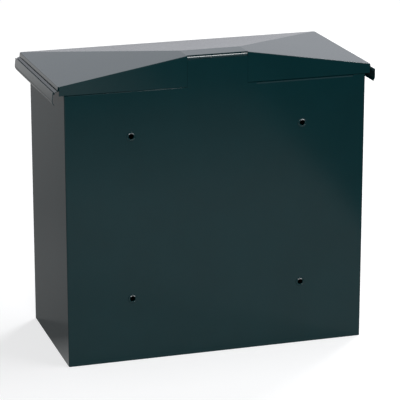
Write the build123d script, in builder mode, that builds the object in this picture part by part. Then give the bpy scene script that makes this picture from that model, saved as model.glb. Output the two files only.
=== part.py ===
# Wall mounted mailbox of folded steel sheet, with a hinged roof lid and a locked front door.
# Millimetres, +Z up, front towards -Y. The origin is the centre of the four wall fixings,
# on the outer face of the back panel.
import os
from math import sqrt

from build123d import *

os.makedirs("parts", exist_ok=True)

# Sheet metal
sheet = 1.0
bend_radius = 2.0

# Box
body_width = 350.0
body_depth = 167.0
back_height = 315.5
back_flange = 10.0
flange_relief = 4.0
floor_flange = 12.0
drain_radius = 2.5
drain_inset_x = 55.0
drain_inset_y = 38.5

# Wall fixings
fixing_spacing_x = 200.0
fixing_spacing_z = 190.0
fixing_centre_height = 169.4
fixing_hole_radius = 3.25
fixing_rim_height = 1.2
fixing_rim_width = 2.4
fixing_rim_round = 1.1

# Roof lid
ridge_rise = 24.5
ridge_width = 70.0
ridge_depth = 30.0
eaves_rise = 11.0
roof_side_overhang = 7.5
roof_front_overhang = 24.0
roof_fall = 5.0
side_flange = 3.6
front_lip = 12.0
wing_inset = 3.2
wing_gap = 0.6
corner_relief = 2.4
lid_gap = 2.0

# Eaves rails
rail_leg = 3.0
rail_shelf = 3.6
rail_lip = 16.5
rail_shoulder = 4.6
rail_skirt = 11.5
rail_bulge = 2.0
rail_curl = 0.8
rail_round = 1.6
rail_setback = 3.6
rail_front_setback = 0.5

# Lid hinge
hinge_leaf = 1.0
hinge_pin_radius = 1.0
hinge_drop = 0.4
hinge_back_reach = 48.0
hinge_lid_reach = 20.0
hinge_knuckles = 5
knuckle_gap = 0.4
running_clearance = 0.05

# Front frame and door
frame_flange = 14.0
frame_top_flange = 16.0
frame_stile = 27.0
frame_head = 63.5
frame_sill = 26.0
opening_corner = 6.0
opening_lip = 13.0
door_gap = 1.2
door_depth = 11.0
buffer_radius = 5.0
buffer_inset = 60.0
seat_gap = 0.3

# Door hinges
door_leaf = 1.0
door_leaf_gap = 0.4
door_leaf_reach = 10.0
door_hinge_length = 40.0
door_hinge_inset = 48.0
door_pin_radius = 1.25
rivet_radius = 1.6
rivet_head_radius = 3.0
rivet_head_height = 1.0
rivet_head_taper = 30.0
rivet_spacing = 22.0
rivet_edge = 4.0
rivet_clearance = 0.03

# Mail baffle
baffle_drop = 14.5
baffle_fall = 18.0
baffle_flange = 12.0
baffle_lip = 18.0
baffle_rear_gap = 3.0
posting_slot = 45.0

# Lock
lock_inset = 26.0
lock_bezel_radius = 11.0
lock_bezel_height = 2.5
lock_body_radius = 9.0
lock_flats = 16.0
lock_body_length = 15.0
lock_hole_clearance = 0.1
lock_plug_radius = 6.0
lock_plug_recess = 0.3
lock_washer_radius = 12.5
lock_washer_height = 1.0
lock_nut_flats = 24.0
lock_nut_height = 4.0
keyway_width = 2.0
keyway_height = 7.0
keyway_depth = 6.0
cam_gap = 0.6
cam_thickness = 1.6
cam_width = 16.0
cam_length = 36.0
cam_square = 6.0
cam_washer_radius = 6.0
cam_washer_height = 0.8
cam_screw_radius = 2.0
cam_screw_head_radius = 4.5
cam_screw_head_height = 3.0
cam_screw_length = 9.0
screw_slot_width = 1.2
screw_clearance = 0.05

# Places that follow from the sizes above
base_z = -fixing_centre_height
back_y = 0.0
front_y = back_y - body_depth
back_inner_y = back_y - sheet
side_inner_x = body_width / 2 - sheet
back_top_z = base_z + back_height

eaves_z = back_top_z + eaves_rise
ridge_z = eaves_z + ridge_rise
roof_width = body_width + 2 * roof_side_overhang
roof_front_y = front_y - roof_front_overhang
roof_depth = back_y - roof_front_y
roof_mid_y = back_y - roof_depth / 2
lip_bottom_z = eaves_z - roof_fall - front_lip
wing_bottom_z = back_top_z + wing_gap
fall = roof_fall / roof_depth
side_slope = (ridge_z - eaves_z) / (roof_width / 2 - ridge_width / 2)
front_slope = (ridge_z - fall * ridge_depth - eaves_z + roof_fall) / (roof_depth - ridge_depth)

knuckle_radius = hinge_pin_radius + running_clearance + hinge_leaf
hinge_y = back_inner_y - knuckle_radius
hinge_z = ridge_z + fall * (hinge_y - back_y) - sheet * sqrt(1 + fall**2) - hinge_drop - knuckle_radius
wing_reach = hinge_z - wing_bottom_z + knuckle_radius
knuckle_pitch = ridge_width / hinge_knuckles
knuckle_length = knuckle_pitch - knuckle_gap


def roof_top(x, y):
    """Height of the roof's upper face over a point."""
    side = ridge_z - side_slope * max(abs(x) - ridge_width / 2, 0) + fall * (y - back_y)
    front = eaves_z - roof_fall + front_slope * (y - roof_front_y)
    return min(side, front)


side_top_z = roof_top(body_width / 2, front_y) - sheet * sqrt(1 + side_slope**2) - lid_gap
notch_y = hinge_y - wing_reach - lid_gap


def folded(plane, *points, radius=bend_radius):
    """Section of a sheet folded along a line of points, with its thickness on the right."""
    with BuildSketch(plane) as section:
        with BuildLine():
            path = FilletPolyline(*points, radius=radius)
            offset(path, amount=sheet, side=Side.RIGHT)
        make_face()
    return section.sketch


def roof_faces(inset):
    """Planes of the ridge, the two side slopes and the front slope, moved inwards."""
    half = ridge_width / 2
    ridge_front = (0, back_y - ridge_depth, ridge_z - fall * ridge_depth)
    faces = [
        Plane((0, back_y, ridge_z), x_dir=(1, 0, 0), z_dir=(0, -fall, 1)),
        Plane((half, back_y, ridge_z), x_dir=(1, 0, -side_slope), z_dir=(side_slope, -fall, 1)),
        Plane((-half, back_y, ridge_z), x_dir=(1, 0, side_slope), z_dir=(-side_slope, -fall, 1)),
        Plane(ridge_front, x_dir=(1, 0, 0), z_dir=(0, -front_slope, 1)),
    ]
    return [face.offset(-inset) for face in faces]


def roof_block(inset):
    """Solid block under the roof, drawn in by an inset on every face but the open bottom."""
    with BuildPart() as block:
        with BuildSketch(Plane.XY.offset(lip_bottom_z)):
            with Locations((0, roof_mid_y)):
                Rectangle(roof_width - 2 * inset, roof_depth - 2 * inset)
        extrude(amount=ridge_z - lip_bottom_z + sheet)
        for face in roof_faces(inset):
            split(bisect_by=face, keep=Keep.BOTTOM)
    return block.part


# Body shell: the back and both sides, folded from one sheet
half_body = body_width / 2
strip_inner = ridge_width / 2 + flange_relief
strip_width = half_body - flange_relief - strip_inner
wall_side = Plane((0, back_y, 0), x_dir=(-1, 0, 0), z_dir=(0, 1, 0))
with BuildPart() as body_shell:
    outline = [(-half_body, front_y), (-half_body, back_y), (half_body, back_y), (half_body, front_y)]
    extrude(folded(Plane.XY.offset(base_z), *outline), amount=side_top_z - base_z)
    with BuildSketch(Plane.XY.offset(back_top_z)):
        with Locations((0, back_y)):
            Rectangle(body_width, back_y - notch_y, align=(Align.CENTER, Align.MAX))
    extrude(amount=side_top_z - back_top_z, mode=Mode.SUBTRACT)
    with BuildSketch(Plane.XY.offset(back_top_z)):
        for side in (-1, 1):
            with Locations((side * (strip_inner + strip_width / 2), back_y - sheet / 2)):
                Rectangle(strip_width, sheet)
    extrude(amount=-bend_radius, mode=Mode.SUBTRACT)
    with BuildSketch(Plane.XY.offset(back_top_z)):
        with Locations((0, back_y)):
            Rectangle(ridge_width, sheet, align=(Align.CENTER, Align.MAX))
    extrude(amount=hinge_z - hinge_leaf - back_top_z)
    for start in (strip_inner, -strip_inner - strip_width):
        fold = folded(
            Plane.YZ.offset(start),
            (back_y - back_flange, back_top_z),
            (back_y, back_top_z),
            (back_y, back_top_z - back_flange),
        )
        extrude(fold, amount=strip_width)
    with BuildSketch(wall_side):
        with GridLocations(fixing_spacing_x, fixing_spacing_z, 2, 2):
            Circle(fixing_hole_radius + fixing_rim_width)
    extrude(amount=fixing_rim_height)
    with BuildSketch(wall_side.offset(fixing_rim_height)):
        with GridLocations(fixing_spacing_x, fixing_spacing_z, 2, 2):
            Circle(fixing_hole_radius)
    extrude(amount=-fixing_rim_height - sheet, mode=Mode.SUBTRACT)
    rims = body_shell.faces().sort_by(Axis.Y)[-4:]
    fillet(rims.edges(), fixing_rim_round)
body_shell.part.label = "body_shell"
export_step(body_shell.part, "parts/body_shell.step")

# Floor pan: a tray inside the foot of the shell, with drain holes
with BuildPart() as floor_pan:
    with BuildSketch(Plane.XY.offset(base_z)):
        with Locations((0, (front_y + back_y) / 2)):
            Rectangle(body_width - 2 * sheet, body_depth - 2 * sheet)
    extrude(amount=floor_flange)
    fillet(floor_pan.edges().filter_by(Axis.Z), bend_radius)
    fillet(floor_pan.faces().sort_by(Axis.Z)[0].edges(), bend_radius)
    offset(amount=-sheet, openings=floor_pan.faces().sort_by(Axis.Z)[-1])
    with Locations((0, (front_y + back_y) / 2, base_z + sheet)):
        with GridLocations(body_width - 2 * drain_inset_x, body_depth - 2 * drain_inset_y, 2, 2):
            Hole(drain_radius, depth=sheet)
floor_pan.part.label = "floor_pan"
export_step(floor_pan.part, "parts/floor_pan.step")

# Mail baffle: a sloping sheet under the lid that leaves the posting slot open in front
baffle_y = front_y + frame_top_flange + posting_slot
baffle_rear_y = back_inner_y - baffle_rear_gap
baffle_rear_z = back_top_z - baffle_drop
baffle_front_z = baffle_rear_z - baffle_fall
with BuildPart() as mail_baffle:
    fold = folded(
        Plane.YZ.offset(-side_inner_x),
        (baffle_y, baffle_front_z - baffle_lip),
        (baffle_y, baffle_front_z),
        (baffle_rear_y, baffle_rear_z),
    )
    extrude(fold, amount=2 * side_inner_x)
    for start in (-side_inner_x, side_inner_x - sheet):
        with BuildSketch(Plane.YZ.offset(start)):
            with BuildLine():
                Polyline(
                    (baffle_y + bend_radius, baffle_front_z - bend_radius),
                    (baffle_rear_y, baffle_rear_z - sheet),
                    (baffle_rear_y, baffle_rear_z - baffle_flange),
                    (baffle_y + bend_radius, baffle_front_z - baffle_flange),
                    close=True,
                )
            make_face()
        extrude(amount=sheet)
mail_baffle.part.label = "mail_baffle"
export_step(mail_baffle.part, "parts/mail_baffle.step")

# Door hinges: two pairs of leaves in the gap beside the door, with the barrels in front
opening_width = body_width - 2 * frame_stile
opening_height = back_height - frame_head - frame_sill
opening_z = base_z + frame_sill + opening_height / 2
hinge_side_gap = 2 * door_leaf + door_leaf_gap
door_left_x = -opening_width / 2 + hinge_side_gap
door_right_x = opening_width / 2 - door_gap
door_knuckle_radius = door_pin_radius + running_clearance + door_leaf
door_hinge_x = -opening_width / 2 + door_leaf + door_leaf_gap / 2
door_hinge_y = front_y - door_knuckle_radius - seat_gap
door_hinge_offset = opening_height / 2 - door_hinge_inset
door_hinge_heights = [opening_z - door_hinge_offset, opening_z + door_hinge_offset]
door_knuckle_pitch = door_hinge_length / 3
rivet_y = front_y + door_leaf_reach - rivet_edge
rivet_length = sheet + door_leaf


def rivet_group(seat_x, facing, clearance):
    """Rivets of both hinges, with heads on seat_x and shanks running the other way."""
    with BuildPart() as group:
        for height in door_hinge_heights:
            seat = Plane((seat_x, rivet_y, height), x_dir=(0, 0, 1), z_dir=(facing, 0, 0))
            with BuildSketch(seat):
                with GridLocations(rivet_spacing, 1, 2, 1):
                    Circle(rivet_radius + clearance)
            extrude(amount=-rivet_length)
            with BuildSketch(seat):
                with GridLocations(rivet_spacing, 1, 2, 1):
                    Circle(rivet_head_radius)
            extrude(amount=rivet_head_height, taper=rivet_head_taper)
    return group.part


def leaf_pair(leaf_x, stations):
    """A leaf at each hinge height, with knuckles at some of the three stations of its barrel."""
    with BuildPart() as leaves:
        for height in door_hinge_heights:
            with BuildSketch(Plane.XY.offset(height - door_hinge_length / 2)):
                with Locations((leaf_x, front_y)):
                    Rectangle(door_leaf, door_leaf_reach, align=(Align.CENTER, Align.MIN))
            extrude(amount=door_hinge_length)
            for station in stations:
                knuckle_z = height + (station - 0.5) * door_knuckle_pitch + knuckle_gap / 2
                with BuildSketch(Plane.XY.offset(knuckle_z)):
                    with Locations((leaf_x, door_hinge_y)):
                        Rectangle(door_leaf, front_y - door_hinge_y, align=(Align.CENTER, Align.MIN))
                    with Locations((door_hinge_x, door_hinge_y)):
                        Circle(door_knuckle_radius)
                        Circle(door_pin_radius + running_clearance, mode=Mode.SUBTRACT)
                extrude(amount=door_knuckle_pitch - knuckle_gap)
    return leaves.part


frame_rivet_seat = (-opening_width / 2 - sheet, -1)
door_rivet_seat = (door_left_x + sheet, 1)

with BuildPart() as door_hinge_frame_leaves:
    add(leaf_pair(-opening_width / 2 + door_leaf / 2, (-1, 1)))
    add(rivet_group(*frame_rivet_seat, rivet_clearance), mode=Mode.SUBTRACT)
door_hinge_frame_leaves.part.label = "door_hinge_frame_leaves"
export_step(door_hinge_frame_leaves.part, "parts/door_hinge_frame_leaves.step")

with BuildPart() as door_hinge_door_leaves:
    add(leaf_pair(door_left_x - door_leaf / 2, (0,)))
    add(rivet_group(*door_rivet_seat, rivet_clearance), mode=Mode.SUBTRACT)
door_hinge_door_leaves.part.label = "door_hinge_door_leaves"
export_step(door_hinge_door_leaves.part, "parts/door_hinge_door_leaves.step")

with BuildPart() as door_hinge_pins:
    for height in door_hinge_heights:
        with BuildSketch(Plane.XY.offset(height - door_hinge_length / 2)):
            with Locations((door_hinge_x, door_hinge_y)):
                Circle(door_pin_radius)
        extrude(amount=door_hinge_length)
door_hinge_pins.part.label = "door_hinge_pins"
export_step(door_hinge_pins.part, "parts/door_hinge_pins.step")

with BuildPart() as frame_rivets:
    add(rivet_group(*frame_rivet_seat, 0))
frame_rivets.part.label = "frame_rivets"
export_step(frame_rivets.part, "parts/frame_rivets.step")

with BuildPart() as door_rivets:
    add(rivet_group(*door_rivet_seat, 0))
door_rivets.part.label = "door_rivets"
export_step(door_rivets.part, "parts/door_rivets.step")

# Front frame: the front sheet, folded back inside the sides, with a lipped door opening
front_plane = Plane((0, front_y, opening_z), x_dir=(1, 0, 0), z_dir=(0, -1, 0))
frame_flange_y = front_y + frame_flange
frame_fold_width = 2 * (side_inner_x - flange_relief)
with BuildPart() as front_frame:
    outline = [
        (side_inner_x, frame_flange_y),
        (side_inner_x, front_y),
        (-side_inner_x, front_y),
        (-side_inner_x, frame_flange_y),
    ]
    extrude(folded(Plane.XY.offset(base_z), *outline), amount=side_top_z - base_z)
    with BuildSketch(Plane.XY.offset(base_z)):
        with Locations((0, front_y + sheet)):
            Rectangle(body_width, frame_flange, align=(Align.CENTER, Align.MIN))
    extrude(amount=floor_flange + lid_gap, mode=Mode.SUBTRACT)
    with BuildSketch(Plane.XY.offset(side_top_z)):
        with Locations((0, front_y + sheet / 2)):
            Rectangle(frame_fold_width, sheet)
    extrude(amount=-bend_radius, mode=Mode.SUBTRACT)
    fold = folded(
        Plane.YZ.offset(-frame_fold_width / 2),
        (front_y, side_top_z - frame_top_flange),
        (front_y, side_top_z),
        (front_y + frame_top_flange, side_top_z),
    )
    extrude(fold, amount=frame_fold_width)
    with BuildSketch(front_plane.offset(-sheet / 2)):
        RectangleRounded(opening_width + 2 * sheet, opening_height + 2 * sheet, opening_corner + sheet)
    extrude(amount=sheet / 2 - opening_lip)
    with BuildSketch(front_plane):
        RectangleRounded(opening_width, opening_height, opening_corner)
    extrude(amount=-opening_lip, mode=Mode.SUBTRACT)
    fillet(front_frame.faces().sort_by(Axis.Y)[0].inner_wires()[0].edges(), bend_radius / 2)
    add(rivet_group(*frame_rivet_seat, rivet_clearance), mode=Mode.SUBTRACT)
front_frame.part.label = "front_frame"
export_step(front_frame.part, "parts/front_frame.step")

# Lid buffers: rubber studs on the frame's top flange, cut to the slope of the lid above them
front_slope_face = roof_faces(sheet + seat_gap)[-1]
with BuildPart() as lid_buffers:
    with BuildSketch(Plane.XY.offset(side_top_z)):
        with Locations((0, front_y + frame_top_flange / 2 + sheet / 2)):
            with GridLocations(body_width - 2 * buffer_inset, 1, 2, 1):
                Circle(buffer_radius)
    extrude(amount=ridge_z - side_top_z)
    split(bisect_by=front_slope_face, keep=Keep.BOTTOM)
lid_buffers.part.label = "lid_buffers"
export_step(lid_buffers.part, "parts/lid_buffers.step")

# Front door: a shallow tray inside the opening, hung on its left edge
lock_x = door_right_x - lock_inset
lock_plane = Plane((lock_x, front_y, opening_z), x_dir=(1, 0, 0), z_dir=(0, -1, 0))
with BuildPart() as front_door:
    with BuildSketch(front_plane):
        with Locations(((door_left_x + door_right_x) / 2, 0)):
            RectangleRounded(
                door_right_x - door_left_x, opening_height - 2 * door_gap, opening_corner - door_gap
            )
    extrude(amount=-door_depth)
    fillet(front_door.faces().sort_by(Axis.Y)[0].edges(), bend_radius)
    offset(amount=-sheet, openings=front_door.faces().sort_by(Axis.Y)[-1])
    with BuildSketch(lock_plane):
        Circle(lock_body_radius + lock_hole_clearance)
        Rectangle(
            3 * lock_body_radius, lock_flats + 2 * lock_hole_clearance, mode=Mode.INTERSECT
        )
    extrude(amount=-2 * sheet, mode=Mode.SUBTRACT)
    add(rivet_group(*door_rivet_seat, rivet_clearance), mode=Mode.SUBTRACT)
front_door.part.label = "front_door"
export_step(front_door.part, "parts/front_door.step")

# Lock: a housing through the door, held by a washer and nut, with a plug that turns a cam
with BuildPart() as lock_housing:
    with BuildSketch(lock_plane):
        Circle(lock_bezel_radius)
    extrude(amount=lock_bezel_height)
    fillet(lock_housing.faces().sort_by(Axis.Y)[0].edges(), lock_bezel_height / 2)
    with BuildSketch(lock_plane):
        Circle(lock_body_radius)
        Rectangle(3 * lock_body_radius, lock_flats, mode=Mode.INTERSECT)
    extrude(amount=-lock_body_length)
    with BuildSketch(lock_plane.offset(lock_bezel_height)):
        Circle(lock_plug_radius + running_clearance)
    extrude(amount=-lock_bezel_height - lock_body_length, mode=Mode.SUBTRACT)
lock_housing.part.label = "lock_housing"
export_step(lock_housing.part, "parts/lock_housing.step")

with BuildPart() as lock_washer:
    with BuildSketch(lock_plane.offset(-sheet)):
        Circle(lock_washer_radius)
        Circle(lock_body_radius + lock_hole_clearance, mode=Mode.SUBTRACT)
    extrude(amount=-lock_washer_height)
lock_washer.part.label = "lock_washer"
export_step(lock_washer.part, "parts/lock_washer.step")

with BuildPart() as lock_nut:
    with BuildSketch(lock_plane.offset(-sheet - lock_washer_height)):
        RegularPolygon(lock_nut_flats / 2, 6, major_radius=False)
        Circle(lock_body_radius + lock_hole_clearance, mode=Mode.SUBTRACT)
    extrude(amount=-lock_nut_height)
lock_nut.part.label = "lock_nut"
export_step(lock_nut.part, "parts/lock_nut.step")

plug_front = lock_bezel_height - lock_plug_recess
cam_front = -lock_body_length - cam_gap
cam_back = cam_front - cam_thickness
with BuildPart() as lock_plug:
    with BuildSketch(lock_plane.offset(plug_front)):
        Circle(lock_plug_radius)
    extrude(amount=cam_front - plug_front)
    with BuildSketch(lock_plane.offset(cam_front)):
        Rectangle(cam_square, cam_square)
    extrude(amount=-cam_thickness)
    with BuildSketch(lock_plane.offset(plug_front)):
        Rectangle(keyway_width, keyway_height)
    extrude(amount=-keyway_depth, mode=Mode.SUBTRACT)
    with BuildSketch(lock_plane.offset(cam_back)):
        Circle(cam_screw_radius + screw_clearance)
    extrude(amount=cam_screw_length, mode=Mode.SUBTRACT)
lock_plug.part.label = "lock_plug"
export_step(lock_plug.part, "parts/lock_plug.step")

with BuildPart() as lock_cam:
    with BuildSketch(lock_plane.offset(cam_front)) as cam_outline:
        Rectangle(cam_width, cam_length, align=(Align.CENTER, Align.MIN))
        fillet(cam_outline.vertices().group_by(Axis.Z)[-1], cam_width / 4)
        Circle(cam_width / 2)
        Rectangle(
            cam_square + 2 * screw_clearance, cam_square + 2 * screw_clearance, mode=Mode.SUBTRACT
        )
    extrude(amount=-cam_thickness)
lock_cam.part.label = "lock_cam"
export_step(lock_cam.part, "parts/lock_cam.step")

with BuildPart() as cam_washer:
    with BuildSketch(lock_plane.offset(cam_back)):
        Circle(cam_washer_radius)
        Circle(cam_screw_radius + screw_clearance, mode=Mode.SUBTRACT)
    extrude(amount=-cam_washer_height)
cam_washer.part.label = "cam_washer"
export_step(cam_washer.part, "parts/cam_washer.step")

with BuildPart() as cam_screw:
    with BuildSketch(lock_plane.offset(cam_back - cam_washer_height)):
        Circle(cam_screw_head_radius)
    extrude(amount=-cam_screw_head_height)
    fillet(cam_screw.faces().sort_by(Axis.Y)[-1].edges(), cam_screw_head_height / 3)
    with BuildSketch(lock_plane.offset(cam_back - cam_washer_height)):
        Circle(cam_screw_radius)
    extrude(amount=cam_screw_length - seat_gap)
    with BuildSketch(lock_plane.offset(cam_back - cam_washer_height - cam_screw_head_height)):
        Rectangle(2 * cam_screw_head_radius, screw_slot_width)
    extrude(amount=cam_screw_head_height / 2, mode=Mode.SUBTRACT)
cam_screw.part.label = "cam_screw"
export_step(cam_screw.part, "parts/cam_screw.step")

# Roof lid: one sheet with a flat ridge, three slopes, side flanges, rear wings and a front lip
half_roof = roof_width / 2
roof_tall = ridge_z - lip_bottom_z + sheet
inner_drop = sheet * sqrt(1 + side_slope**2 + fall**2)
front_drop = sheet * sqrt(1 + front_slope**2)
with BuildPart() as roof_lid:
    add(roof_block(0))
    add(roof_block(sheet), mode=Mode.SUBTRACT)
    for start in (-half_roof, half_roof - sheet):
        with BuildSketch(Plane.YZ.offset(start)):
            with BuildLine():
                Polyline(
                    (back_y, eaves_z - side_flange),
                    (roof_front_y, eaves_z - roof_fall - side_flange),
                    (roof_front_y, lip_bottom_z),
                    (back_y, lip_bottom_z),
                    close=True,
                )
            make_face()
        extrude(amount=sheet, mode=Mode.SUBTRACT)
    with BuildSketch(Plane.XY.offset(lip_bottom_z)):
        with Locations((0, back_y)):
            Rectangle(roof_width, sheet, align=(Align.CENTER, Align.MAX))
    extrude(amount=wing_bottom_z - lip_bottom_z, mode=Mode.SUBTRACT)
    with BuildSketch(Plane.XY.offset(lip_bottom_z)):
        with Locations((0, roof_mid_y)):
            with GridLocations(roof_width - wing_inset, roof_depth - corner_relief, 2, 2):
                Rectangle(wing_inset, corner_relief)
        with Locations((0, back_y)):
            Rectangle(ridge_width + 2 * knuckle_gap, back_y - hinge_y, align=(Align.CENTER, Align.MAX))
    extrude(amount=roof_tall, mode=Mode.SUBTRACT)
    wing_x = (ridge_width + roof_width) / 4
    outer_bends = [
        (half_roof, roof_mid_y, roof_top(half_roof, roof_mid_y)),
        (-half_roof, roof_mid_y, roof_top(half_roof, roof_mid_y)),
        (wing_x, back_y, roof_top(wing_x, back_y)),
        (-wing_x, back_y, roof_top(wing_x, back_y)),
        (0, roof_front_y, roof_top(0, roof_front_y)),
    ]
    fillet([roof_lid.edges().sort_by_distance(point)[0] for point in outer_bends], bend_radius)
    side_x = half_roof - sheet
    rear_y = back_y - sheet
    lip_y = roof_front_y + sheet
    inner_bends = [
        (side_x, roof_mid_y, roof_top(side_x, roof_mid_y) - inner_drop),
        (-side_x, roof_mid_y, roof_top(side_x, roof_mid_y) - inner_drop),
        (wing_x, rear_y, roof_top(wing_x, rear_y) - inner_drop),
        (-wing_x, rear_y, roof_top(wing_x, rear_y) - inner_drop),
        (0, lip_y, roof_top(0, lip_y) - front_drop),
    ]
    fillet([roof_lid.edges().sort_by_distance(point)[0] for point in inner_bends], bend_radius - sheet)
roof_lid.part.label = "roof_lid"
export_step(roof_lid.part, "parts/roof_lid.step")

# Eaves rails: rolled sections inside the lid's side flanges, with a shelf and a round lip
rail_y = back_y - rail_setback
rail_x = half_roof - sheet
rail_z = eaves_z + fall * (rail_y - back_y) - side_flange - rail_round
lip_x = half_roof + rail_shelf
with BuildPart() as eaves_rail_right:
    rail_section = folded(
        Plane.XZ.offset(-rail_y),
        (rail_x, rail_z + rail_leg),
        (rail_x, rail_z),
        (lip_x, rail_z),
        (lip_x + rail_bulge, rail_z - rail_shoulder),
        (lip_x + rail_bulge, rail_z - rail_skirt),
        (lip_x - rail_curl, rail_z - rail_lip),
        radius=rail_round,
    )
    extrude(rail_section, amount=roof_depth - rail_setback - rail_front_setback, dir=(0, -1, -fall))
eaves_rail_right.part.label = "eaves_rail_right"
export_step(eaves_rail_right.part, "parts/eaves_rail_right.step")

with BuildPart() as eaves_rail_left:
    mirror(eaves_rail_right.part, about=Plane.YZ)
eaves_rail_left.part.label = "eaves_rail_left"
export_step(eaves_rail_left.part, "parts/eaves_rail_left.step")

# Lid hinge: a leaf inside the back panel, a leaf under the ridge, and a pin through both
back_stations = range(0, hinge_knuckles, 2)
lid_stations = range(1, hinge_knuckles, 2)
knuckle_clear = knuckle_radius + knuckle_gap
bore_radius = hinge_pin_radius + running_clearance


def knuckle_start(station):
    """The X where a knuckle of the lid hinge begins."""
    return -ridge_width / 2 + station * knuckle_pitch + knuckle_gap / 2


with BuildPart() as lid_hinge_back_leaf:
    with BuildSketch(Plane.XY.offset(back_top_z - hinge_back_reach)):
        with Locations((0, back_inner_y)):
            Rectangle(ridge_width, hinge_leaf, align=(Align.CENTER, Align.MAX))
    extrude(amount=hinge_z - knuckle_clear - back_top_z + hinge_back_reach)
    for station in back_stations:
        with BuildSketch(Plane.YZ.offset(knuckle_start(station))):
            with Locations((back_inner_y, hinge_z)):
                Rectangle(hinge_leaf, knuckle_clear, align=(Align.MAX, Align.MAX))
            with Locations((hinge_y, hinge_z)):
                Circle(knuckle_radius)
                Circle(bore_radius, mode=Mode.SUBTRACT)
        extrude(amount=knuckle_length)
lid_hinge_back_leaf.part.label = "lid_hinge_back_leaf"
export_step(lid_hinge_back_leaf.part, "parts/lid_hinge_back_leaf.step")

leaf_top = Plane(
    (0, hinge_y, hinge_z + knuckle_radius + hinge_drop), x_dir=(1, 0, 0), z_dir=(0, -fall, 1)
)
with BuildPart() as lid_hinge_lid_leaf:
    with BuildSketch(leaf_top):
        with Locations((0, -knuckle_clear)):
            Rectangle(ridge_width - 2 * sheet, hinge_lid_reach, align=(Align.CENTER, Align.MAX))
    extrude(amount=-hinge_leaf)
    for station in lid_stations:
        with BuildSketch(leaf_top):
            with Locations((knuckle_start(station), 0)):
                Rectangle(knuckle_length, knuckle_clear, align=(Align.MIN, Align.MAX))
        extrude(amount=-hinge_leaf)
        with BuildSketch(Plane.YZ.offset(knuckle_start(station))):
            with Locations((hinge_y, hinge_z)):
                Circle(knuckle_radius)
        extrude(amount=knuckle_length)
        with BuildSketch(Plane.YZ.offset(knuckle_start(station))):
            with Locations((hinge_y, hinge_z)):
                Circle(bore_radius)
        extrude(amount=knuckle_length, mode=Mode.SUBTRACT)
lid_hinge_lid_leaf.part.label = "lid_hinge_lid_leaf"
export_step(lid_hinge_lid_leaf.part, "parts/lid_hinge_lid_leaf.step")

with BuildPart() as lid_hinge_pin:
    with BuildSketch(Plane.YZ.offset(-ridge_width / 2)):
        with Locations((hinge_y, hinge_z)):
            Circle(hinge_pin_radius)
    extrude(amount=ridge_width)
lid_hinge_pin.part.label = "lid_hinge_pin"
export_step(lid_hinge_pin.part, "parts/lid_hinge_pin.step")
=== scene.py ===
import math

import bmesh
import bpy
from mathutils import Matrix, Vector


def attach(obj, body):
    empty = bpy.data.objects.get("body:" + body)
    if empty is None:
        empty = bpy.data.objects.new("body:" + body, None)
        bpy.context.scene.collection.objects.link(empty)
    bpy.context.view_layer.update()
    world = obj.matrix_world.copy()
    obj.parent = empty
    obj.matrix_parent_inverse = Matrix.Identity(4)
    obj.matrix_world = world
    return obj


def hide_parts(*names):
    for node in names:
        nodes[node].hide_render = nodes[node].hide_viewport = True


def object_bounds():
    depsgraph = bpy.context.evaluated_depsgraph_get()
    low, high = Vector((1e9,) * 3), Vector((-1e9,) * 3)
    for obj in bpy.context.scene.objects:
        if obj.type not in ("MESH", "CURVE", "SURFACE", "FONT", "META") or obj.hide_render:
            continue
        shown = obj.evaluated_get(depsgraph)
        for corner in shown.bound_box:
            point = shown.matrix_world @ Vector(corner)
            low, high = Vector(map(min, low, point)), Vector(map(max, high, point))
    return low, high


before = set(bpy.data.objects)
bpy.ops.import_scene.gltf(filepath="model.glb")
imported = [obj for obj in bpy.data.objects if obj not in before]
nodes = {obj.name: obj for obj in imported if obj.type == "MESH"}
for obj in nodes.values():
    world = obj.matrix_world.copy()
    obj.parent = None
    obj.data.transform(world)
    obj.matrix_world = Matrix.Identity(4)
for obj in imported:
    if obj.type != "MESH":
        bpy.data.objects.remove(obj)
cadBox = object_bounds()
floorZ = cadBox[0].z
print("frame loaded,", len(nodes), "nodes")

# sizes that several pieces share, in metres
shared = {
    "hole": (0.100, 0.095),
    "frontY": -0.167,
    "frontTop": 0.15096,
    "doorZ": -0.0304,
    "bend": 0.002,
    "wall": 0.001,
    "rim": 0.00035,
}
tiny = 1e-6
black = (0.0, 0.0, 0.0, 1.0)
white = (1.0, 1.0, 1.0, 1.0)


# a socket that takes part in sums, each sum adds its Math node
class Wire:
    def __init__(self, finish, socket):
        self.finish, self.socket = finish, socket

    def sum(self, operation, first, second):
        return self.finish.node("ShaderNodeMath", {"operation": operation}, {0: first, 1: second})

    def __add__(self, other):
        return self.sum("ADD", self, other)

    def __sub__(self, other):
        return self.sum("SUBTRACT", self, other)

    def __rsub__(self, other):
        return self.sum("SUBTRACT", other, self)

    def __mul__(self, other):
        return self.sum("MULTIPLY", self, other)

    __radd__ = __add__
    __rmul__ = __mul__


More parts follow.
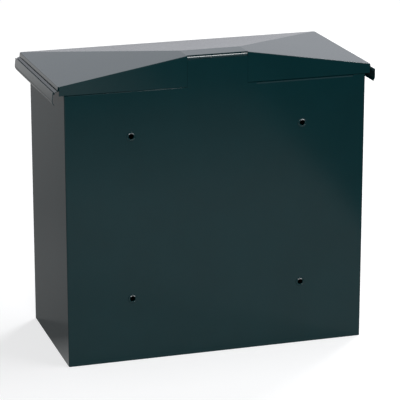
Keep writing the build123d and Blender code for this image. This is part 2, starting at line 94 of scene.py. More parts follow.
# one finish, floor or sky: its node tree and the one way to add a node
class Finish:
    def __init__(self, owner):
        owner.use_nodes = True
        self.tree = owner.node_tree
        self.tree.nodes.clear()

    def node(self, kind, settings=None, inputs=None, output=0):
        made = self.tree.nodes.new(kind)
        for name, value in (settings or {}).items():
            if name == "stops":
                ramp = made.color_ramp.elements
                while len(ramp) < len(value):
                    ramp.new(1.0)
                for stop, (place, colour) in zip(ramp, value):
                    stop.position, stop.color = place, colour
            else:
                setattr(made, name, value)
        for name, value in (inputs or {}).items():
            if isinstance(value, Wire):
                self.tree.links.new(value.socket, made.inputs[name])
            else:
                made.inputs[name].default_value = value
        return Wire(self, made.outputs[output]) if made.outputs else None

    def place(self):
        return self.node("ShaderNodeTexCoord", output="Object")

    def axis(self, letter):
        return self.node("ShaderNodeSeparateXYZ", None, {"Vector": self.place()}, letter)

    def apply(self, operation, value):
        return self.node("ShaderNodeMath", {"operation": operation}, {0: value})

    def noise(self, scale, detail=2.0, roughness=0.5, vector=None):
        return self.node("ShaderNodeTexNoise", None, {
            "Vector": vector or self.place(), "Scale": scale,
            "Detail": detail, "Roughness": roughness})

    def mix(self, factor, first, second):
        return self.node("ShaderNodeMix", {"data_type": "RGBA"}, {0: factor, 6: first, 7: second}, 2)

    def between(self, value, low, high, toLow=0.0, toHigh=1.0):
        return self.node("ShaderNodeMapRange", {"interpolation_type": "SMOOTHSTEP"}, {
            "Value": value, "From Min": low, "From Max": high, "To Min": toLow, "To Max": toHigh})

    def bump(self, height, depth, strength=1.0, under=None):
        inputs = {"Height": height, "Distance": depth, "Strength": strength}
        if under:
            inputs["Normal"] = under
        return self.node("ShaderNodeBump", None, inputs)

    def surface(self, inputs):
        shader = self.node("ShaderNodeBsdfPrincipled", None, inputs)
        self.node("ShaderNodeOutputMaterial", None, {"Surface": shader})


def newMaterial(name):
    material = bpy.data.materials.new(name)
    return material, Finish(material)


# green powder coat: even gloss, fine orange peel, faint waves of the sheet below it
paintLook = {
    "colour": (0.0008, 0.0232, 0.0271, 1.0),
    "thinCoat": (0.0012, 0.0259, 0.0303, 1.0),
    "toneScale": 14.0,
    "toneRange": (0.3, 0.7),
    "ior": 1.28,
    "hingeIor": 1.5,
    "roughness": 0.11,
    "roughnessSpread": 0.04,
    "smearScale": 26.0,
    "peelScale": 520.0,
    "peelDepth": 0.000006,
    "waveScale": 8.0,
    "waveDepth": 0.00018,
}

# bare spots at the upper rims of the fixing holes, where the box hangs on its screws
wornLook = {
    "ring": (0.0043, 0.0038),
    "upper": (0.0024, 0.0032),
    "chipScale": 700.0,
    "chipRange": (0.40, 0.52),
    "bare": (0.55, 0.56, 0.57, 1.0),
    "bareRoughness": 0.3,
}


def wornSpots(finish):
    holeX, holeZ = shared["hole"]
    x, z = finish.axis("X"), finish.axis("Z")
    aside = finish.apply("ABSOLUTE", x) - holeX
    above = z - finish.apply("SIGN", z) * holeZ
    reach = finish.apply("SQRT", aside * aside + above * above)
    ring = finish.between(reach, *wornLook["ring"])
    upper = finish.between(above, *wornLook["upper"])
    chips = finish.between(finish.noise(wornLook["chipScale"]), *wornLook["chipRange"])
    return ring * upper * chips


def makeGreenPaint(name, ior, worn=False):
    material, finish = newMaterial(name)
    tone = finish.noise(paintLook["toneScale"], detail=4.0, roughness=0.6)
    smear = finish.noise(paintLook["smearScale"], detail=3.0, roughness=0.6)
    peel = finish.noise(paintLook["peelScale"], detail=1.0)
    wave = finish.noise(paintLook["waveScale"], detail=1.0)
    waved = finish.bump(wave, paintLook["waveDepth"])
    thin = finish.between(tone, *paintLook["toneRange"])
    colour = finish.mix(thin, paintLook["colour"], paintLook["thinCoat"])
    roughness = smear * paintLook["roughnessSpread"] + paintLook["roughness"]
    inputs = {
        "Base Color": colour,
        "Roughness": roughness,
        "IOR": ior,
        "Normal": finish.bump(peel, paintLook["peelDepth"], under=waved),
    }
    if worn:
        spots = wornSpots(finish)
        inputs["Base Color"] = finish.mix(spots, colour, wornLook["bare"])
        inputs["Roughness"] = roughness + spots * (wornLook["bareRoughness"] - paintLook["roughness"])
        inputs["Metallic"] = spots
    finish.surface(inputs)
    return material


# zinc plated steel: small spangle and a rolled grain
zincLook = {
    "colour": (0.50, 0.51, 0.52, 1.0),
    "dull": (0.36, 0.37, 0.39, 1.0),
    "spangleScale": 420.0,
    "spangleShare": 0.7,
    "grainScale": (1800.0, 90.0, 1800.0),
    "roughness": 0.26,
    "roughnessSpread": 0.2,
    "grainDepth": 0.00001,
}


def makeZincSteel():
    material, finish = newMaterial("zincSteel")
    spangle = finish.node("ShaderNodeTexVoronoi", None, {
        "Vector": finish.place(), "Scale": zincLook["spangleScale"]}, "Color")
    cell = finish.node("ShaderNodeSeparateColor", None, {"Color": spangle})
    drawn = finish.node("ShaderNodeMapping", None, {
        "Vector": finish.place(), "Scale": zincLook["grainScale"]})
    grain = finish.noise(1.0, detail=3.0, roughness=0.6, vector=drawn)
    share = zincLook["spangleShare"]
    bright = cell * share + grain * (1 - share)
    finish.surface({
        "Base Color": finish.mix(bright, zincLook["dull"], zincLook["colour"]),
        "Metallic": 1.0,
        "Roughness": grain * zincLook["roughnessSpread"] + zincLook["roughness"],
        "Normal": finish.bump(grain, zincLook["grainDepth"]),
    })
    return material


# nickel plated lock face: bright, with fine rubbing marks
nickelLook = {
    "colour": (0.72, 0.71, 0.69, 1.0),
    "rubbed": (0.65, 0.64, 0.62, 1.0),
    "rubScale": 900.0,
    "rubRange": (0.45, 0.7),
    "roughness": 0.12,
    "roughnessSpread": 0.07,
    "rubDepth": 0.000002,
}


def makeNickel():
    material, finish = newMaterial("nickelPlate")
    rub = finish.noise(nickelLook["rubScale"], detail=5.0, roughness=0.65)
    marks = finish.between(rub, *nickelLook["rubRange"])
    finish.surface({
        "Base Color": finish.mix(marks, nickelLook["colour"], nickelLook["rubbed"]),
        "Metallic": 1.0,
        "Roughness": rub * nickelLook["roughnessSpread"] + nickelLook["roughness"],
        "Normal": finish.bump(rub, nickelLook["rubDepth"]),
    })
    return material


# moulded black rubber with a dry bloom
rubberLook = {
    "colour": (0.012, 0.012, 0.012, 1.0),
    "bloom": (0.035, 0.035, 0.034, 1.0),
    "bloomScale": 300.0,
    "bloomRange": (0.35, 0.75),
    "roughness": 0.58,
    "roughnessSpread": 0.2,
    "skinScale": 2200.0,
    "skinDepth": 0.00003,
}


def makeRubber():
    material, finish = newMaterial("blackRubber")
    bloom = finish.noise(rubberLook["bloomScale"], detail=4.0, roughness=0.6)
    skin = finish.noise(rubberLook["skinScale"])
    dry = finish.between(bloom, *rubberLook["bloomRange"])
    finish.surface({
        "Base Color": finish.mix(dry, rubberLook["colour"], rubberLook["bloom"]),
        "Roughness": bloom * rubberLook["roughnessSpread"] + rubberLook["roughness"],
        "Normal": finish.bump(skin, rubberLook["skinDepth"]),
    })
    return material


greenPaint = makeGreenPaint("greenPaint", paintLook["ior"])
shellPaint = makeGreenPaint("shellPaint", paintLook["ior"], worn=True)
hingePaint = makeGreenPaint("hingePaint", paintLook["hingeIor"])
zincSteel = makeZincSteel()
nickelPlate = makeNickel()
blackRubber = makeRubber()
finishes = {
    "green_paint": greenPaint,
    "steel": zincSteel,
    "chrome": nickelPlate,
    "rubber": blackRubber,
}
for node in nodes.values():
    slotName = node.data.materials[0].name
    node.data.materials[0] = finishes[slotName]
for name in ("lid_hinge_back_leaf", "lid_hinge_lid_leaf"):
    nodes[name].data.materials[0] = hingePaint
print("finishes on the CAD nodes")


# sheet metal tools: draw an outline, fill it, fold an edge over, pull it on
def addLoop(mesh, points):
    verts = [mesh.verts.new(point) for point in points]
    return [mesh.edges.new(pair) for pair in zip(verts, verts[1:] + verts[:1])]


# in the order of the edges, since that of a set changes between runs
def vertsOf(edges):
    return list(dict.fromkeys(vert for edge in edges for vert in edge.verts))


def pull(mesh, edges, move):
    made = bmesh.ops.extrude_edge_only(mesh, edges=edges)["geom"]
    fresh = {part for part in made if isinstance(part, bmesh.types.BMVert)}
    bmesh.ops.translate(mesh, verts=list(fresh), vec=move)
    edges = [part for part in made if isinstance(part, bmesh.types.BMEdge)]
    return [edge for edge in edges if fresh.issuperset(edge.verts)]


# turns the sheet at these edges until it faces another way
def foldTo(mesh, edges, normal, facing, radius, steps=5):
    normal, facing = Vector(normal), Vector(facing)
    made = bmesh.ops.spin(
        mesh, geom=vertsOf(edges) + edges, cent=edges[0].verts[0].co - normal * radius,
        axis=normal.cross(facing).normalized(), angle=normal.angle(facing), steps=steps, use_merge=False)
    return [part for part in made["geom_last"] if isinstance(part, bmesh.types.BMEdge)]


def cutAcross(mesh, point, normal, cutOff=False, snap=1e-7):
    bmesh.ops.bisect_plane(
        mesh, geom=mesh.verts[:] + mesh.edges[:] + mesh.faces[:], dist=snap,
        plane_co=point, plane_no=normal, clear_outer=cutOff)


def roundEdges(mesh, edges, offset, segments):
    bmesh.ops.bevel(
        mesh, geom=edges, offset=offset, offset_type="OFFSET", affect="EDGES",
        segments=segments, profile=0.5, material=-1)


def roundedLoop(mesh, centre, width, height, corner, segments=7):
    known = set(mesh.edges)
    verts = [mesh.verts.new((centre[0] + across * width / 2, centre[1], centre[2] + up * height / 2))
             for across, up in ((-1, -1), (1, -1), (1, 1), (-1, 1))]
    mesh.faces.new(verts)
    bmesh.ops.bevel(
        mesh, geom=verts, offset=corner, offset_type="OFFSET", affect="VERTICES",
        segments=segments, profile=0.5, material=-1)
    loop = [edge for edge in mesh.edges if edge not in known]
    bmesh.ops.delete(mesh, geom=loop[0].link_faces[:], context="FACES_ONLY")
    return loop


# rolls a loop in the front plane over a quarter turn and pulls it back as a return
def rollLoop(mesh, loop, centre, size, roll, depth, spread, steps=5):
    before = (0.0, 0.0)
    for step in range(1, steps + 1):
        turn = step / steps * math.pi / 2
        now = (roll * math.sin(turn), roll * (1 - math.cos(turn)))
        loop = pull(mesh, loop, (0.0, now[1] - before[1], 0.0))
        wide, high = [(length + 2 * spread * now[0]) / (length + 2 * spread * before[0]) for length in size]
        bmesh.ops.scale(
            mesh, vec=(wide, 1.0, high), verts=vertsOf(loop),
            space=Matrix.Translation((-centre[0], 0.0, -centre[2])))
        before = now
    return pull(mesh, loop, (0.0, depth - roll, 0.0))


# softening of the cut edges of the sheet
rimSet = {
    "steps": 3,
    "angle": 50.0,
}


# turns a sheet into a piece: normals away from its core, wall, softened rims, body and material
def finishPiece(name, mesh, settings, material, body, replaced):
    bmesh.ops.remove_doubles(mesh, verts=mesh.verts, dist=tiny)
    bmesh.ops.recalc_face_normals(mesh, faces=mesh.faces)
    largest = max(mesh.faces, key=lambda face: face.calc_area())
    if largest.normal.dot(largest.calc_center_median() - Vector(settings["core"])) < 0:
        bmesh.ops.reverse_faces(mesh, faces=mesh.faces)
    for face in mesh.faces:
        face.smooth = True
    data = bpy.data.meshes.new(name)
    mesh.to_mesh(data)
    mesh.free()
    data.materials.append(material)
    piece = bpy.data.objects.new(name, data)
    bpy.context.scene.collection.objects.link(piece)
    sheet = piece.modifiers.new("wall", "SOLIDIFY")
    sheet.thickness, sheet.offset = settings["wall"], -1.0
    sheet.use_even_offset = True
    soft = piece.modifiers.new("rim", "BEVEL")
    soft.width, soft.segments = settings["rim"], rimSet["steps"]
    soft.limit_method, soft.angle_limit = "ANGLE", math.radians(rimSet["angle"])
    piece.modifiers.new("shading", "WEIGHTED_NORMAL")
    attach(piece, body)
    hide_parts(*replaced)
    print("made", name)


# body shell: back panel with four pressed fixing rims, tab, top flanges and both sides
bodySet = {
    "halfWidth": 0.175,
    "frontY": shared["frontY"],
    "backTop": 0.1461,
    "sideTop": shared["frontTop"],
    "stepY": -0.03847,
    "tabHalf": 0.035,
    "tabTop": 0.17707,
    "bend": shared["bend"],
    "topBend": {1: 0.0006, -1: 0.0024},
    "flange": 0.010,
    "flangeSpan": {1: (0.039, 0.171), -1: (0.0455, 0.160)},
    "flangeEdge": {1: 3, -1: 11},
    "sideEdge": {1: 0, -1: 14},
    "hole": shared["hole"],
    "holeRadius": 0.0029,
    "rimRadius": 0.0053,
    "rimSteps": (10, 48),
    "core": (0.0, -0.08, 0.0),
    "wall": shared["wall"],
    "rim": shared["rim"],
}


# a half round rim spun about the hole, returned as its outer circle
def pressRim(mesh, x, z):
    known = set(mesh.edges)
    outer = bodySet["rimRadius"]
    over, around = bodySet["rimSteps"]
    tube = (outer - bodySet["holeRadius"]) / 2
    start = mesh.verts.new((x + outer, 0.0, z))
    bmesh.ops.spin(
        mesh, geom=[start], cent=(x + outer - tube, 0.0, z), axis=(0, 0, 1),
        angle=math.pi, steps=over, use_merge=False)
    arc = [edge for edge in mesh.edges if edge not in known]
    bmesh.ops.spin(
        mesh, geom=vertsOf(arc) + arc, cent=(x, 0.0, z), axis=(0, 1, 0),
        angle=2 * math.pi, steps=around, use_merge=True)
    centre = Vector((x, 0.0, z))
    return [edge for edge in mesh.edges if edge not in known and all(
        abs((vert.co - centre).length - outer) < tiny for vert in edge.verts)]


def makeBodyShell():
    mesh = bmesh.new()
    top, bend = bodySet["backTop"], bodySet["bend"]
    sideX = bodySet["halfWidth"] - bend
    # up the right half, then down its mirrored run on the left
    outline = []
    for side in (1, -1):
        inner, outer = bodySet["flangeSpan"][side]
        foldZ = top - bodySet["topBend"][side]
        run = [(sideX, floorZ), (sideX, top), (outer, top), (outer, foldZ), (inner, foldZ), (inner, top),
               (bodySet["tabHalf"], top), (bodySet["tabHalf"], bodySet["tabTop"])]
        outline += [(side * x, 0.0, z) for x, z in run][::side]
    panel = addLoop(mesh, outline)
    holeX, holeZ = bodySet["hole"]
    rims = []
    for x, z in ((holeX, holeZ), (-holeX, holeZ), (holeX, -holeZ), (-holeX, -holeZ)):
        rims += pressRim(mesh, x, z)
    bmesh.ops.triangle_fill(mesh, edges=panel + rims, use_beauty=True, normal=(0, 1, 0))
    for side, topBend in bodySet["topBend"].items():
        edge = panel[bodySet["flangeEdge"][side]]
        folded = foldTo(mesh, [edge], (0, 1, 0), (0, 0, 1), topBend)
        pull(mesh, folded, (0.0, topBend - bodySet["flange"], 0.0))
    # each side runs forward to the step, and stands higher from there on
    for side, index in bodySet["sideEdge"].items():
        folded = foldTo(mesh, [panel[index]], (0, 1, 0), (side, 0, 0), bend)
        stepped = pull(mesh, folded, (0.0, bodySet["stepY"] + bend, 0.0))
        pull(mesh, stepped, (0.0, bodySet["frontY"] - bodySet["stepY"], 0.0))
        raised = [part for part in mesh.edges if all(
            vert.co.x * side > sideX and vert.co.z > top - tiny
            and vert.co.y < bodySet["stepY"] + tiny for vert in part.verts)]
        pull(mesh, raised, (0.0, 0.0, bodySet["sideTop"] - top))
    finishPiece("bodyShell", mesh, bodySet, shellPaint, "box", ["body_shell"])


# roof lid: flat ridge, three slopes, side flanges, rear wings and a front lip
roofSet = {
    "ridgeHalf": 0.035,
    "ridgeDepth": 0.030,
    "ridgeZ": 0.1816,
    "eavesZ": 0.1571,
    "half": 0.1815,
    "frontY": -0.191,
    "drop": 0.005,
    "crease": 0.0003,
    "creaseSteps": 3,
    "sideBend": 0.0009,
    "wingBend": 0.0007,
    "lipBend": shared["bend"],
    "flange": 0.0048,
    "flangeLean": 7.0,
    "flangeGap": (0.0014, 0.0012),
    "wingEnd": 0.1804,
    "wingBottom": {1: 0.14642, -1: 0.1467},
    "wingTwist": {1: 8.5, -1: 0.0},
    "wingCurl": 1.6,
    "wingCuts": (0.060, 0.085, 0.110, 0.135, 0.160),
    "lipEnd": 0.1782,
    "lipBottom": 0.1401,
    "slotDepth": 0.00305,
    "core": (0.0, -0.09, 0.0),
    "wall": shared["wall"],
    "rim": shared["rim"],
}


# how far the roof falls towards the front, per metre
def roofFall():
    return -roofSet["drop"] / roofSet["frontY"]


def makeRoofLid():
    mesh = bmesh.new()
    half, front = roofSet["half"], roofSet["frontY"]
    ridge, depth = roofSet["ridgeHalf"], roofSet["ridgeDepth"]
    fall = roofFall()
    corner = {}
    for side in (1, -1):
        places = ((side * ridge, 0.0, roofSet["ridgeZ"]),
                  (side * ridge, -depth, roofSet["ridgeZ"] - fall * depth),
                  (side * half, front, roofSet["eavesZ"] - roofSet["drop"]),
                  (side * half, 0.0, roofSet["eavesZ"]))
        corner[side] = [mesh.verts.new(place) for place in places]
    left, right = corner[-1], corner[1]
    mesh.faces.new((right[0], left[0], left[1], right[1]))
    apronFace = mesh.faces.new((right[1], left[1], left[2], right[2]))
    slopeFaces = {1: mesh.faces.new(right), -1: mesh.faces.new(left[::-1])}
    mesh.normal_update()
    apron = apronFace.normal.copy()
    slope = {side: face.normal.copy() for side, face in slopeFaces.items()}
    for normal in (apron, *slope.values()):
        if normal.z < 0:
            normal.negate()
    creases = [edge for edge in mesh.edges if len(edge.link_faces) == 2]
    roundEdges(mesh, creases, roofSet["crease"], roofSet["creaseSteps"])
    # the hinge slot ends where the rounded ridge creases end
    slotHalf = max(vert.co.x for vert in mesh.verts if vert.co.x < ridge + 2 * roofSet["crease"])
    # trimmed back to where the bends begin
    lean = math.radians(roofSet["flangeLean"])
    sideX = half - roofSet["sideBend"] * (math.cos(lean) - slope[1].x)
    rearY = -roofSet["wingBend"] * (1 - slope[1].y)
    frontY = front + roofSet["lipBend"] * (1 + apron.y)
    for side in (1, -1):
        cutAcross(mesh, (side * sideX, 0, 0), (side, 0, 0), cutOff=True)
    cutAcross(mesh, (0, rearY, 0), (0, 1, 0), cutOff=True)
    cutAcross(mesh, (0, frontY, 0), (0, -1, 0), cutOff=True)
    # ends of the bends, and the slot for the hinge barrel
    flangeRear, flangeFront = rearY - roofSet["flangeGap"][0], frontY + roofSet["flangeGap"][1]
    for x in (roofSet["wingEnd"], roofSet["lipEnd"], slotHalf, *roofSet["wingCuts"]):
        for side in (1, -1):
            cutAcross(mesh, (side * x, 0, 0), (1, 0, 0))
    for y in (flangeRear, flangeFront, -roofSet["slotDepth"]):
        cutAcross(mesh, (0, y, 0), (0, 1, 0))
    slot = [face for face in mesh.faces if abs(face.calc_center_median().x) < slotHalf
            and face.calc_center_median().y > -roofSet["slotDepth"]]
    bmesh.ops.delete(mesh, geom=slot, context="FACES")

    def rimEdges(test):
        rims = [edge for edge in mesh.edges if edge.is_boundary]
        return [edge for edge in rims if all(test(vert.co) for vert in edge.verts)]

    lipEnd, wingEnd = roofSet["lipEnd"], roofSet["wingEnd"]
    lip = rimEdges(lambda co: abs(co.y - frontY) < tiny and abs(co.x) < lipEnd + tiny)
    flanges = {side: rimEdges(
        lambda co: abs(co.x * side - sideX) < tiny and flangeFront - tiny < co.y < flangeRear + tiny)
        for side in (1, -1)}
    wings = {side: rimEdges(
        lambda co: abs(co.y - rearY) < tiny and slotHalf - tiny < co.x * side < wingEnd + tiny)
        for side in (1, -1)}
    lip = foldTo(mesh, lip, apron, (0, -1, 0), roofSet["lipBend"])
    pull(mesh, lip, (0.0, 0.0, roofSet["lipBottom"] - lip[0].verts[0].co.z))
    for side in (1, -1):
        outward = (side * math.cos(lean), 0.0, math.sin(lean))
        folded = foldTo(mesh, flanges[side], slope[side], outward, roofSet["sideBend"])
        low = folded[0].verts[0].co
        drop = low.z - roofSet["eavesZ"] - fall * low.y + roofSet["flange"]
        pull(mesh, folded, (side * math.tan(lean) * drop, 0.0, -drop))
        # a wing hangs to a level edge, and one tucks in more towards its end
        folded = foldTo(mesh, wings[side], slope[side], (0, 1, 0), roofSet["wingBend"])
        hanging = pull(mesh, folded, (0, 0, 0))
        for vert in vertsOf(hanging):
            drop = vert.co.z - roofSet["wingBottom"][side]
            along = max(abs(vert.co.x) - slotHalf, 0.0) / (wingEnd - slotHalf)
            twist = roofSet["wingTwist"][side] * along ** roofSet["wingCurl"]
            tuck = math.tan(math.radians(twist))
            vert.co += Vector((0.0, -tuck * drop, -drop))
    finishPiece("roofLid", mesh, roofSet, greenPaint, "lid", ["roof_lid"])


# eaves rails: a leg inside the flange, a sloping shelf, a groove and a rounded skirt
railSet = {
    "x": 0.1805,
    "rear": (-0.0036, 0.151806),
    "section": ((0.0, 0.003), (0.0, 0.0001), (0.0014, 0.0001), (0.0020, -0.0001), (0.0046, -0.0014),
                (0.0048, -0.0031), (0.0055, -0.0030), (0.0058, -0.0011), (0.0064, -0.0013)),
    "skirt": {1: ((0.0076, -0.0122), (0.0052, -0.0160)),
              -1: ((0.0076, -0.0020), (0.0076, -0.0125), (0.0058, -0.0160))},
    "round": {1: ((1, 0.0006), (9, 0.0018)), -1: ((1, 0.0006), (10, 0.0010))},
    "roundSteps": 5,
    "length": 0.1869,
    "name": {1: "eavesRailRight", -1: "eavesRailLeft"},
    "node": {1: "eaves_rail_right", -1: "eaves_rail_left"},
    "core": (0.0, -0.09, 0.13),
    "wall": 0.0006,
    "rim": 0.0002,
}


def makeEavesRails():
    y, z = railSet["rear"]
    length = railSet["length"]
    for side, name in railSet["name"].items():
        mesh = bmesh.new()
        points = railSet["section"] + railSet["skirt"][side]
        verts = [mesh.verts.new((side * (railSet["x"] + out), y, z + up)) for out, up in points]
        section = [mesh.edges.new(pair) for pair in zip(verts, verts[1:])]
        pull(mesh, section, (0.0, -length, -length * roofFall()))
        for index, offset in railSet["round"][side]:
            bend = [edge for edge in verts[index].link_edges if len(edge.link_faces) == 2]
            roundEdges(mesh, bend, offset, railSet["roundSteps"])
        finishPiece(name, mesh, railSet, greenPaint, "lid", [railSet["node"][side]])


# front frame: flat sheet with a rounded opening, returns round it and flanges behind
frameSet = {
    "halfWidth": 0.174,
    "faceY": shared["frontY"],
    "top": shared["frontTop"],
    "bend": shared["bend"],
    "flange": 0.014,
    "topFlange": 0.016,
    "sideEdge": {1: 2, -1: 8},
    "topEdge": 5,
    "footClear": 0.014,
    "cornerGap": 0.004,
    "openingZ": shared["doorZ"],
    "opening": (0.296, 0.226),
    "corner": 0.006,
    "roll": 0.001,
    "lip": 0.013,
    "core": (0.0, 0.0, 0.0),
    "wall": shared["wall"],
    "rim": shared["rim"],
}


def makeFrontFrame():
    mesh = bmesh.new()
    half, y = frameSet["halfWidth"], frameSet["faceY"]
    bend, gap = frameSet["bend"], frameSet["cornerGap"]
    foot, top = floorZ + frameSet["footClear"], frameSet["top"]
    right = [(half, floorZ), (half, foot), (half - bend, foot), (half - bend, top - gap),
             (half - bend - gap, top - gap), (half - bend - gap, top - bend)]
    outline = right + [(-x, z) for x, z in reversed(right)]
    sheet = addLoop(mesh, [(x, y, z) for x, z in outline])
    centre = (0.0, y, frameSet["openingZ"])
    roll = frameSet["roll"]
    size = [length + 2 * roll for length in frameSet["opening"]]
    opening = roundedLoop(mesh, centre, *size, frameSet["corner"] + roll)
    bmesh.ops.triangle_fill(mesh, edges=sheet + opening, use_beauty=True, normal=(0, -1, 0))
    rollLoop(mesh, opening, centre, size, roll, frameSet["lip"], -1)
    for side, index in frameSet["sideEdge"].items():
        folded = foldTo(mesh, [sheet[index]], (0, -1, 0), (side, 0, 0), bend)
        pull(mesh, folded, (0.0, frameSet["flange"] - bend, 0.0))
    folded = foldTo(mesh, [sheet[frameSet["topEdge"]]], (0, -1, 0), (0, 0, 1), bend)
    pull(mesh, folded, (0.0, frameSet["topFlange"] - bend, 0.0))
    finishPiece("frontFrame", mesh, frameSet, greenPaint, "box", ["front_frame"])


# front door: a shallow tray with a hole for the lock
doorSet = {
    "centre": (0.0006, shared["frontY"], shared["doorZ"]),
    "size": (0.2924, 0.2236),
    "corner": 0.0048,
    "bend": shared["bend"],
    "depth": 0.011,
    "lock": (0.1208, shared["frontY"], shared["doorZ"]),
    "lockRadius": 0.0093,
    "lockSides": 40,
    "core": (0.0, -0.1, -0.03),
    "wall": shared["wall"],
    "rim": shared["rim"],
}


def makeFrontDoor():
    mesh = bmesh.new()
    bend = doorSet["bend"]
    size = [length - 2 * bend for length in doorSet["size"]]
    face = roundedLoop(mesh, doorSet["centre"], *size, doorSet["corner"] - bend)
    known = set(mesh.edges)
    bmesh.ops.create_circle(
        mesh, cap_ends=False, segments=doorSet["lockSides"], radius=doorSet["lockRadius"],
        matrix=Matrix.Translation(doorSet["lock"]) @ Matrix.Rotation(math.pi / 2, 4, "X"))
    hole = [edge for edge in mesh.edges if edge not in known]
    bmesh.ops.triangle_fill(mesh, edges=face + hole, use_beauty=True, normal=(0, -1, 0))
    rollLoop(mesh, face, doorSet["centre"], size, bend, doorSet["depth"], 1)
    finishPiece("frontDoor", mesh, doorSet, greenPaint, "door", ["front_door"])


makeBodyShell()
makeRoofLid()
makeEavesRails()
makeFrontFrame()
makeFrontDoor()


# studio: pale floor and white surround. The gloss of the paint sees the floor in graded strength, which is
# painted shade on the floor, seen only in reflections
studio = {
    "floorRadius": 3.0,
    "floorSides": 96,
    "floorClear": 0.0003,
    "floorPaper": (0.465, 0.47, 0.475, 1.0),
    "floorLift": (0.65, 0.65, 0.65, 1.0),
    # dark floor tone where painted shade darkens the floor in reflections, also used for a dimmer bounce
    "floorGrey": (0.12, 0.12, 0.12, 1.0),
    "floorRoughness": 0.9,
    "floorFade": (0.9, 4.0),
    # painted shade seen in reflections: floor tone by place along Y, and darker past a leaning edge
    "reflectedShadeSpan": (-3.0, 1.5),
    "reflectedShadeAhead": ((-2.6, 0.93), (-1.7, 0.93), (-1.4, 0.40), (-1.2, 0.26), (-0.6, 0.17),
                    (-0.1, 0.20), (0.03, 1.0), (0.6, 1.0), (0.7, 0.82), (0.83, 0.66),
                    (1.0, 0.48), (1.06, 0.40), (1.12, 0.22), (1.2, 0.08)),
    "reflectedShadeEdge": (-0.315, -0.275),
    "reflectedShadeLean": 0.1,
    "reflectedShadeBeyond": 0.18,
    "bounce": 0.35,
    "ambient": 0.22,
    "surround": (0.95, 0.95, 1.015, 1.0),
    "horizon": (0.74, 0.735, 0.785, 1.0),
    "horizonRise": (0.04, 0.24),
}


def makeFloor():
    mesh = bmesh.new()
    bmesh.ops.create_circle(
        mesh, cap_ends=True, segments=studio["floorSides"], radius=studio["floorRadius"])
    bmesh.ops.translate(mesh, verts=mesh.verts, vec=(0.0, 0.0, floorZ - studio["floorClear"]))
    data = bpy.data.meshes.new("studioFloor")
    mesh.to_mesh(data)
    mesh.free()
    floor = bpy.data.objects.new("studioFloor", data)
    bpy.context.scene.collection.objects.link(floor)
    material, finish = newMaterial("floorPaper")
    camera, glossy, through, scattered = [
        finish.node("ShaderNodeLightPath", output=name)
        for name in ("Is Camera Ray", "Is Glossy Ray", "Is Transmission Ray", "Is Diffuse Ray")]
    across, ahead = finish.axis("X"), finish.axis("Y")
    # painted shade in reflections: the share of the floor seen in the gloss goes by place along Y, and
    # drops past a leaning edge
    low, high = studio["reflectedShadeSpan"]
    span = high - low
    stops = [((place - low) / span, (tone, tone, tone, 1.0)) for place, tone in studio["reflectedShadeAhead"]]
    share = finish.node("ShaderNodeValToRGB", {"stops": stops}, {"Fac": (ahead - low) * (1 / span)})
    leant = across + ahead * studio["reflectedShadeLean"]
    edge = finish.between(leant, *studio["reflectedShadeEdge"], studio["reflectedShadeBeyond"])
    shown = camera + through + glossy * share * edge + scattered * studio["bounce"]
    # far from the box the camera sees the floor as white as the surround
    far = camera * finish.between(across * across + ahead * ahead, *studio["floorFade"])
    near = finish.mix(shown, studio["floorGrey"], studio["floorPaper"])
    lifted = finish.mix(shown, black, studio["floorLift"])
    finish.surface({
        "Base Color": finish.mix(far, near, black),
        "Roughness": studio["floorRoughness"],
        "Specular IOR Level": 0.0,
        "Emission Color": finish.mix(far, lifted, white),
        "Emission Strength": 1.0,
    })
    data.materials.append(material)


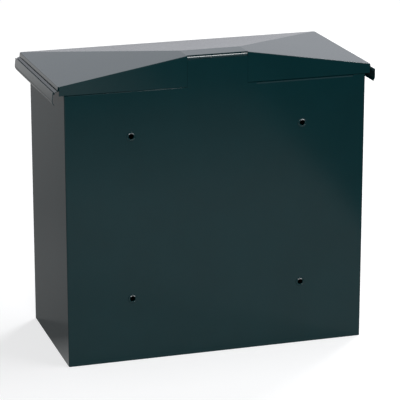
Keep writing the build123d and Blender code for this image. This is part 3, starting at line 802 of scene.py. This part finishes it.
def makeSky():
    world = bpy.data.worlds.new("studioSky")
    bpy.context.scene.world = world
    finish = Finish(world)
    camera, glossy, through = [
        finish.node("ShaderNodeLightPath", output=name)
        for name in ("Is Camera Ray", "Is Glossy Ray", "Is Transmission Ray")]
    rise = finish.node("ShaderNodeSeparateXYZ", None, {
        "Vector": finish.node("ShaderNodeTexCoord", output="Generated")}, "Z")
    tone = finish.mix(finish.between(rise, *studio["horizonRise"]), studio["horizon"], studio["surround"])
    seen = finish.mix(glossy, white, tone)
    ambient = finish.node("ShaderNodeBackground", None, {"Color": tone, "Strength": studio["ambient"]})
    shown = finish.node("ShaderNodeBackground", None, {"Color": seen, "Strength": 1.0})
    both = finish.node("ShaderNodeMixShader", None, {0: camera + glossy + through, 1: ambient, 2: shown})
    finish.node("ShaderNodeOutputWorld", None, {"Surface": both})


# soft boxes: place, width, height and power, aimed at the box unless told otherwise
softBoxes = {
    "overhead": {"place": (-0.43, 0.12, 1.60), "size": (0.22, 1.05), "power": 12.0,
                 "aim": (-0.43, 0.12, 0.0)},
    "key": {"place": (0.65, 2.90, 1.05), "size": (1.2, 1.2), "power": 44.0},
    "front": {"place": (-1.90, -2.00, 1.30), "size": (1.0, 1.0), "power": 70.0},
}


def makeLights():
    centre = (cadBox[0] + cadBox[1]) / 2
    for name, box in softBoxes.items():
        aim = Vector(box.get("aim", centre))
        light = bpy.data.lights.new(name, "AREA")
        light.shape = "RECTANGLE"
        light.size, light.size_y = box["size"]
        light.energy = box["power"]
        lamp = bpy.data.objects.new(name, light)
        lamp.location = box["place"]
        lamp.rotation_euler = (aim - lamp.location).to_track_quat("-Z", "Y").to_euler()
        bpy.context.scene.collection.objects.link(lamp)


# camera: seen from behind and a little above, as in the photograph
cameraSet = {
    "aim": (-0.0054, -0.0850, -0.0136),
    "azimuth": 163.02,
    "elevation": 17.46,
    "distance": 2.630,
    "lens": 203.2,
    "sensor": 36.0,
    "clip": (0.05, 50.0),
}


def makeCamera():
    data = bpy.data.cameras.new("camera")
    data.lens, data.sensor_width = cameraSet["lens"], cameraSet["sensor"]
    data.clip_start, data.clip_end = cameraSet["clip"]
    camera = bpy.data.objects.new("camera", data)
    turn, rise = math.radians(cameraSet["azimuth"]), math.radians(cameraSet["elevation"])
    back = Vector((math.sin(turn) * math.cos(rise), -math.cos(turn) * math.cos(rise), math.sin(rise)))
    camera.location = Vector(cameraSet["aim"]) + back * cameraSet["distance"]
    camera.rotation_euler = (-back).to_track_quat("-Z", "Y").to_euler()
    bpy.context.scene.collection.objects.link(camera)
    bpy.context.scene.camera = camera


makeFloor()
makeSky()
makeLights()
makeCamera()
bpy.context.scene.view_settings.view_transform = "Standard"
print("studio and camera set")
